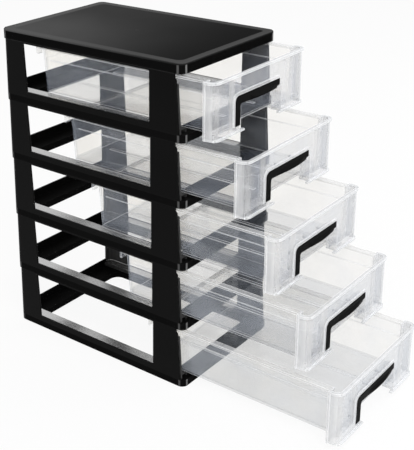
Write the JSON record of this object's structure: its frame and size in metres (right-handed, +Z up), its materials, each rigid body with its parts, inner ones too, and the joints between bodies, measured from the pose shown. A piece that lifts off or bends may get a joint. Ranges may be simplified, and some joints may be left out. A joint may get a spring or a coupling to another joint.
{
  "type": "drawer tower",
  "caption": "Desktop tower of clear sliding drawers in an open black plastic frame, each drawer with a finger pocket and a dark trim on its front.",
  "frame": {"origin": "on the floor, in the middle of the foot strip under the frame's front edge", "axes": "+Z up, +Y from the front to the back, so a drawer pulls out along -Y, +X to the right of someone facing the front"},
  "size_m": [0.2014, 0.5275, 0.436],
  "materials": {
    "frame": "satin",
    "clear_drawer": "clear",
    "trim": "satin"
  },
  "bodies": {
    "frame": {"top_panel": "frame", "deck_1": "frame", "deck_2": "frame", "deck_3": "frame", "deck_4": "frame", "base_deck": "frame", "side_left_1": "frame", "side_left_2": "frame", "side_left_3": "frame", "side_left_4": "frame", "side_left_5": "frame", "side_right_1": "frame", "side_right_2": "frame", "side_right_3": "frame", "side_right_4": "frame", "side_right_5": "frame"},
    "drawer_1": {"drawer_1": "clear_drawer", "handle_trim_1": "trim"},
    "drawer_2": {"drawer_2": "clear_drawer", "handle_trim_2": "trim"},
    "drawer_3": {"drawer_3": "clear_drawer", "handle_trim_3": "trim"},
    "drawer_4": {"drawer_4": "clear_drawer", "handle_trim_4": "trim"},
    "drawer_5": {"drawer_5": "clear_drawer", "handle_trim_5": "trim"}
  },
  "joints": [
    {"name": "drawer_1_slide", "type": "slide", "parent": "frame", "child": "drawer_1", "axis": [0, -1, 0], "range_m": [-0.0345, 0.1965]},
    {"name": "drawer_2_slide", "type": "slide", "parent": "frame", "child": "drawer_2", "axis": [0, -1, 0], "range_m": [-0.0795, 0.1515]},
    {"name": "drawer_3_slide", "type": "slide", "parent": "frame", "child": "drawer_3", "axis": [0, -1, 0], "range_m": [-0.123, 0.108]},
    {"name": "drawer_4_slide", "type": "slide", "parent": "frame", "child": "drawer_4", "axis": [0, -1, 0], "range_m": [-0.1685, 0.0625]},
    {"name": "drawer_5_slide", "type": "slide", "parent": "frame", "child": "drawer_5", "axis": [0, -1, 0], "range_m": [-0.214, 0.017]}
  ]
}
